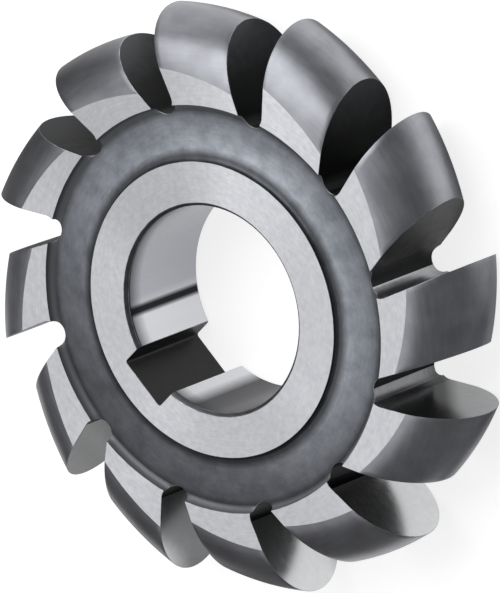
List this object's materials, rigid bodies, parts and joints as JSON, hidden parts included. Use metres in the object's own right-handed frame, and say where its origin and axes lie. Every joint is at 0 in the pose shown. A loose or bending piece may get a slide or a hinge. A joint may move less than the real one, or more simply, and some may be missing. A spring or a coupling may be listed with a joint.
{
  "type": "convex milling cutter",
  "caption": "Disc-shaped milling cutter with form-relieved half-round teeth around its rim, a keyed centre bore and shallow turned recesses between hub and teeth.",
  "frame": {"origin": "centre of the bore on the lower side face", "axes": "+Z along the bore axis, +Y through the keyway; seen from +Z the cutter turns counter-clockwise"},
  "size_m": [0.063, 0.063, 0.0123],
  "materials": {
    "tool_steel": "ground side faces and bore, dark heat-treatment oxide in the recesses, gashes and on the tooth forms"
  },
  "bodies": {
    "root": {"milling_cutter": "tool_steel"}
  },
  "joints": []
}
